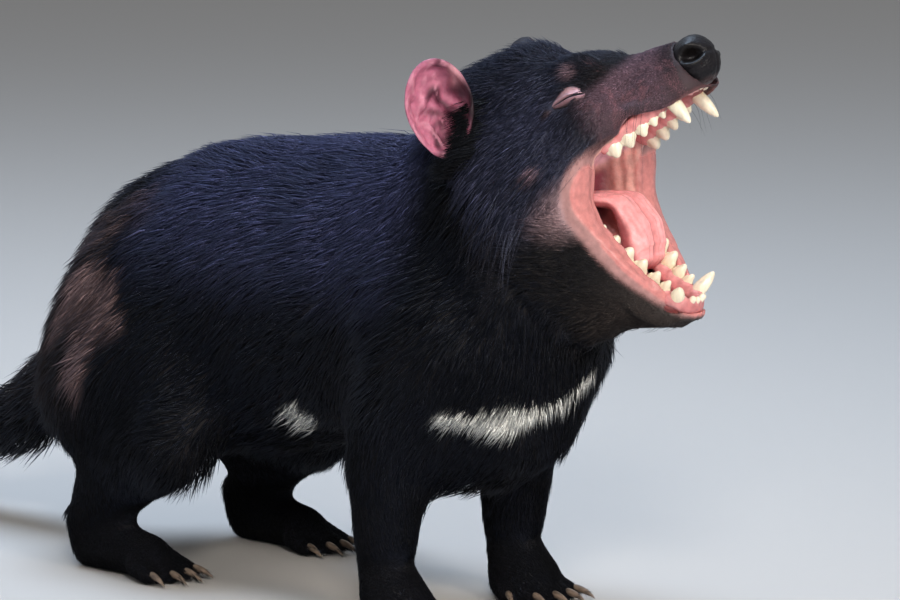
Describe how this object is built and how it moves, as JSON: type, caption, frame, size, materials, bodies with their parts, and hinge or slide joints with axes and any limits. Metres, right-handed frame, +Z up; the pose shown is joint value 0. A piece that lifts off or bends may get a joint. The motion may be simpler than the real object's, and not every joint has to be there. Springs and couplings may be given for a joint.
{
  "type": "tasmanian devil model",
  "caption": "Life-size standing tasmanian devil with raised head, wide open mouth, round ears and thick tail.",
  "frame": {"origin": "on the floor, at the middle of the animal's length and width", "axes": "+X the way the body faces, +Y the animal's left side, +Z up"},
  "size_m": [0.6535, 0.1832, 0.3185],
  "materials": {
    "coat": "coarse black fur with a cool sheen",
    "nose_skin": "moist, pebbled, glossy black",
    "teeth_and_gum": "wet pink gums with ivory teeth",
    "ear_skin": "thin pink skin, almost bare",
    "eye": "wet and dark",
    "tongue_flesh": "wet pink flesh"
  },
  "bodies": {
    "root": {"head": "coat", "lower_jaw": "coat", "neck": "coat", "torso": "coat", "tail_base": "coat", "tail_tip": "coat", "foreleg_left": "coat", "foreleg_right": "coat", "hindleg_left": "coat", "hindleg_right": "coat", "forepaw_left": "coat", "forepaw_right": "coat", "hindfoot_left": "coat", "hindfoot_right": "coat", "nose": "nose_skin", "upper_gum": "teeth_and_gum", "lower_gum": "teeth_and_gum", "ear_left": "ear_skin", "ear_right": "ear_skin", "eye_left": "eye", "eye_right": "eye", "tongue": "tongue_flesh"}
  },
  "joints": []
}
